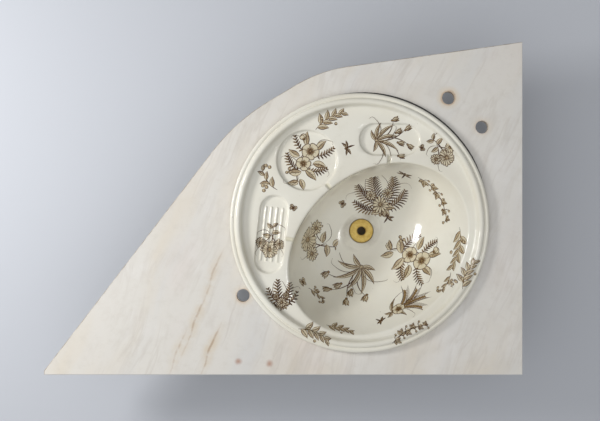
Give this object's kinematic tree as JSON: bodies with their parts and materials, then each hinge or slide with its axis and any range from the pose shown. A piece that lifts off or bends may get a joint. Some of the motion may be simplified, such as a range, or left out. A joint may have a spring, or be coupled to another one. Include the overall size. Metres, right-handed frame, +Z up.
{
  "type": "corner washstand top",
  "caption": "Marble slab for the corner of a room with a round drop-in ceramic basin, moulded trays, an offset oval bowl and a brass waste.",
  "frame": {"origin": "the corner of the slab where the two walls meet, at the slab's underside", "axes": "+Z up, +X along the long wall edge, -Y along the short wall edge; the curved front edge faces -Y and +X"},
  "size_m": [0.9385, 0.653, 0.1967],
  "materials": {
    "marble": "honed white marble with faint beige and grey veins",
    "glaze": "glossy cream glaze over a brown printed pattern",
    "putty": "matte set putty",
    "brass": "worn satin brass",
    "leather": "pressed leather"
  },
  "bodies": {
    "root": {"marble_slab": "marble", "basin": "glaze", "rim_bedding": "putty", "waste_flange": "brass", "waste_upper_washer": "leather", "waste_lower_washer": "leather", "waste_slip_washer": "brass", "waste_backnut": "brass"}
  },
  "joints": []
}
